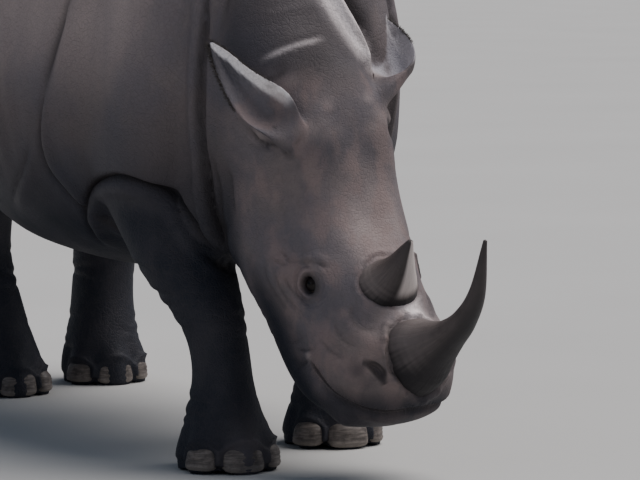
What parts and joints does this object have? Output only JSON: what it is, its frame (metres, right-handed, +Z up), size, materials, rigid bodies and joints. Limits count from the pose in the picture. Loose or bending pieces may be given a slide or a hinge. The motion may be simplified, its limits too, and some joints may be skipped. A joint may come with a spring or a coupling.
{
  "type": "southern white rhinoceros, life-size still model",
  "caption": "Life-size still model of a grazing southern white rhinoceros with its head down, turned left, and the right fore foot set forward.",
  "frame": {"origin": "middle of the model's box, on the ground under the four soles", "axes": "+X the way the trunk points, +Y the animal's left, +Z up"},
  "size_m": [2.9622, 0.99, 1.6328],
  "materials": {
    "hide": "matte, dusty, wrinkled bare skin",
    "horn": "fibrous dark brown horn, smooth at the tips and paler at the base",
    "nail": "dull worn horn",
    "eye": "wet dark brown"
  },
  "bodies": {
    "root": {"ear_left": "hide", "ear_right": "hide", "eye_left": "eye", "eye_right": "eye", "head": "hide", "horn_front": "horn", "horn_rear": "horn", "leg_fore_left": "hide", "leg_fore_right": "hide", "leg_hind_left": "hide", "leg_hind_right": "hide", "nail_fore_left_1": "nail", "nail_fore_left_2": "nail", "nail_fore_left_3": "nail", "nail_fore_right_1": "nail", "nail_fore_right_2": "nail", "nail_fore_right_3": "nail", "nail_hind_left_1": "nail", "nail_hind_left_2": "nail", "nail_hind_left_3": "nail", "nail_hind_right_1": "nail", "nail_hind_right_2": "nail", "nail_hind_right_3": "nail", "neck": "hide", "tail": "hide", "trunk": "hide"}
  },
  "joints": []
}
